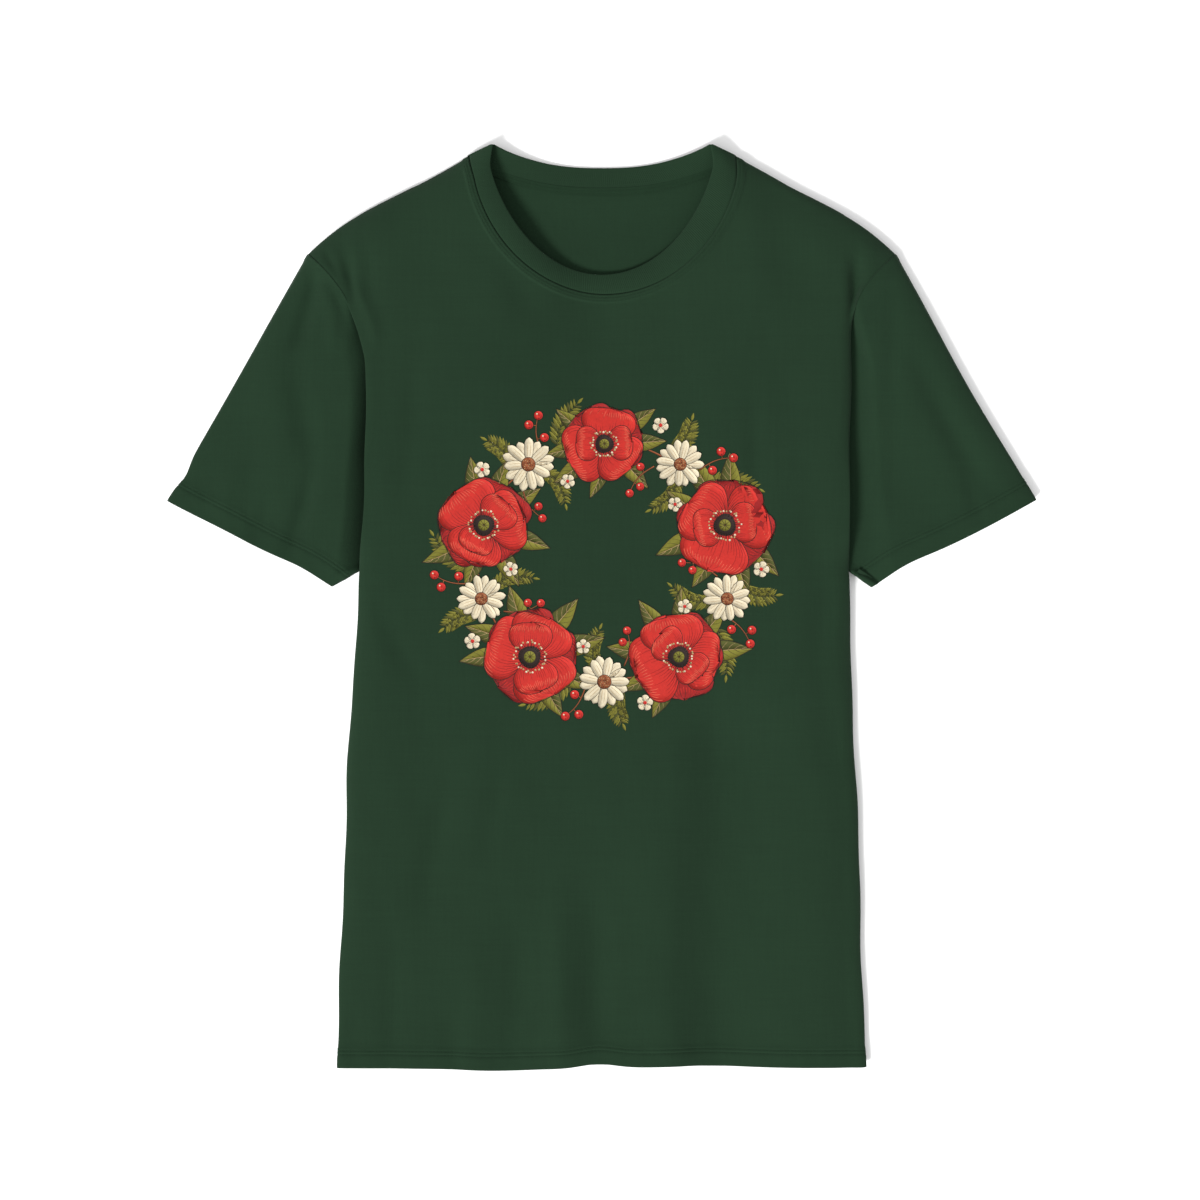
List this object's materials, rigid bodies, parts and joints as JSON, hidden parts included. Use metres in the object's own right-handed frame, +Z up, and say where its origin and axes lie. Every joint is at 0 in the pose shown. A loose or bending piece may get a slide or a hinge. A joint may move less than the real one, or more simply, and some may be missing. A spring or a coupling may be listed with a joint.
{
  "type": "crew-neck t-shirt",
  "caption": "Short-sleeved crew-neck T-shirt laid flat and slightly filled out, with a ribbed collar, set-in sleeves, topstitched hem and cuffs, and a round floral chest print.",
  "frame": {"origin": "on the surface the shirt lies on, under the middle of its outline", "axes": "+Z up, out of the shirt's front; +Y from the hem to the collar; +X towards the wearer's left sleeve"},
  "size_m": [0.696, 0.74, 0.0189],
  "materials": {
    "jersey": "dark green cotton jersey, matte, with faint slub lines",
    "rib": "dark green one-by-one rib knit, matte",
    "tape": "dark green twill tape",
    "thread": "dark green polyester sewing thread",
    "print_ink": "water-based ink printed on jersey, matte"
  },
  "bodies": {
    "root": {"front_panel": "jersey", "back_panel": "jersey", "left_sleeve": "jersey", "right_sleeve": "jersey", "neck_rib": "rib", "neck_tape": "tape", "chest_print": "print_ink", "neck_tape_stitch_upper": "thread", "neck_tape_stitch_lower": "thread", "collar_topstitch_inner": "thread", "collar_topstitch_outer": "thread", "hem_topstitch_lower": "thread", "hem_topstitch_upper": "thread", "back_hem_coverstitch": "thread", "left_cuff_topstitch_lower": "thread", "left_cuff_topstitch_upper": "thread", "left_cuff_coverstitch": "thread", "left_side_overlock": "thread", "left_armhole_overlock_front": "thread", "left_armhole_overlock_back": "thread", "left_shoulder_overlock": "thread", "left_underarm_overlock": "thread", "right_cuff_topstitch_lower": "thread", "right_cuff_topstitch_upper": "thread", "right_cuff_coverstitch": "thread", "right_side_overlock": "thread", "right_armhole_overlock_front": "thread", "right_armhole_overlock_back": "thread", "right_shoulder_overlock": "thread", "right_underarm_overlock": "thread"}
  },
  "joints": []
}
